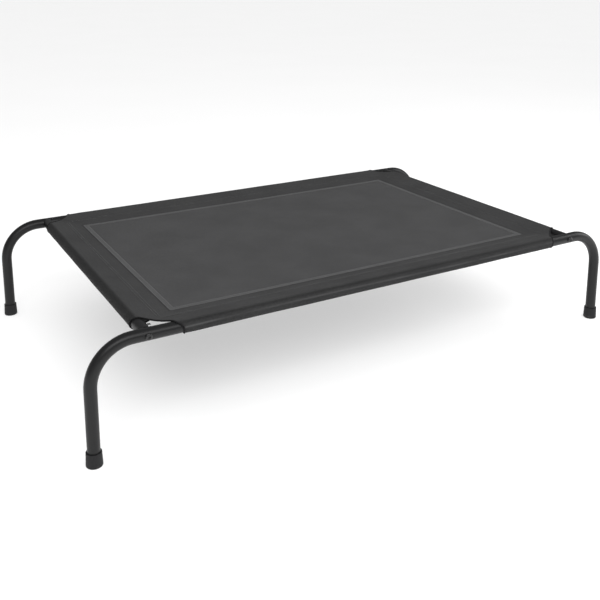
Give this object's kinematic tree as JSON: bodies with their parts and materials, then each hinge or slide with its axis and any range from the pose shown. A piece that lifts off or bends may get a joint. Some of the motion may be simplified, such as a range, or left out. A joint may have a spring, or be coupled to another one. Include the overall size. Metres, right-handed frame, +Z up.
{
  "type": "elevated dog bed",
  "caption": "Raised pet bed: bent steel tube frame on rubber feet, with a stretched mesh sling whose sleeves wrap the rails and crossbars.",
  "frame": {"origin": "on the floor below the middle of the bed", "axes": "+X along the long side towards the right crossbar, +Y from the front rail to the rear rail, +Z up"},
  "size_m": [1.1944, 0.7188, 0.2205],
  "materials": {
    "frame_tube": "black powder coat, satin",
    "bolt_black": "black oxide, satin",
    "nut_zinc": "bright zinc plate",
    "foot_rubber": "moulded, matt",
    "mesh_cloth": "open plain weave of coated yarn",
    "border_cloth": "coated plain weave, matt",
    "binding_cloth": "ribbed tape, matt"
  },
  "bodies": {
    "root": {"front_left_leg_rail": "frame_tube", "front_left_foot": "foot_rubber", "front_left_bolt": "bolt_black", "front_left_barrel_nut": "nut_zinc", "front_right_leg_rail": "frame_tube", "front_right_foot": "foot_rubber", "front_right_bolt": "bolt_black", "front_right_barrel_nut": "nut_zinc", "rear_left_leg_rail": "frame_tube", "rear_left_foot": "foot_rubber", "rear_left_bolt": "bolt_black", "rear_left_barrel_nut": "nut_zinc", "rear_right_leg_rail": "frame_tube", "rear_right_foot": "foot_rubber", "rear_right_bolt": "bolt_black", "rear_right_barrel_nut": "nut_zinc", "left_crossbar": "frame_tube", "right_crossbar": "frame_tube", "front_sleeve": "border_cloth", "rear_sleeve": "border_cloth", "left_sleeve": "border_cloth", "right_sleeve": "border_cloth", "border_panel": "border_cloth", "mesh_panel": "mesh_cloth", "binding_tape": "binding_cloth"}
  },
  "joints": []
}
